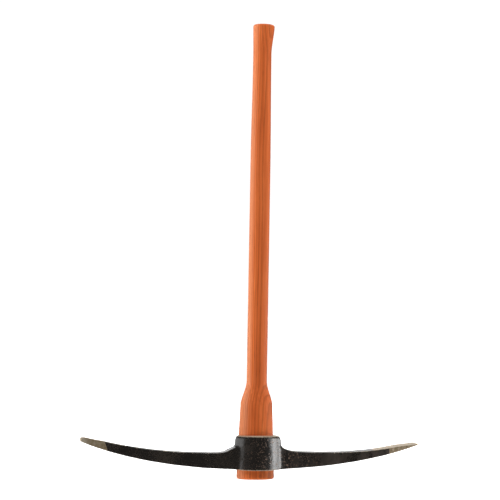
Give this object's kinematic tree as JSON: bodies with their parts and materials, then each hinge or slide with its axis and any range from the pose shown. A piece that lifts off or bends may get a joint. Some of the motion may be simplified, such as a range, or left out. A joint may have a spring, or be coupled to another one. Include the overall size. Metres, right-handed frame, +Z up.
{
  "type": "pickaxe",
  "caption": "Navvy pick: a bowed forged head with a point and a chisel, jammed by its tapered oval eye on the flared butt of a straight wooden handle.",
  "frame": {"origin": "middle of the handle's flat butt end, which the pick stands on", "axes": "+Z up the handle to the grip end, -X towards the point and +X towards the chisel, Y across the head"},
  "size_m": [0.6877, 0.0688, 0.914],
  "materials": {
    "handle_wood": "varnished orange-brown hardwood, long straight grain",
    "black_lacquer": "black lacquer over forging scale, ground bare at both ends"
  },
  "bodies": {
    "handle": {"handle": "handle_wood"},
    "head": {"pick_head": "black_lacquer"}
  },
  "joints": [
    {"name": "head_slide", "type": "slide", "parent": "handle", "child": "head", "axis": [0, 0, 1], "range_m": [0, 0.93]}
  ]
}
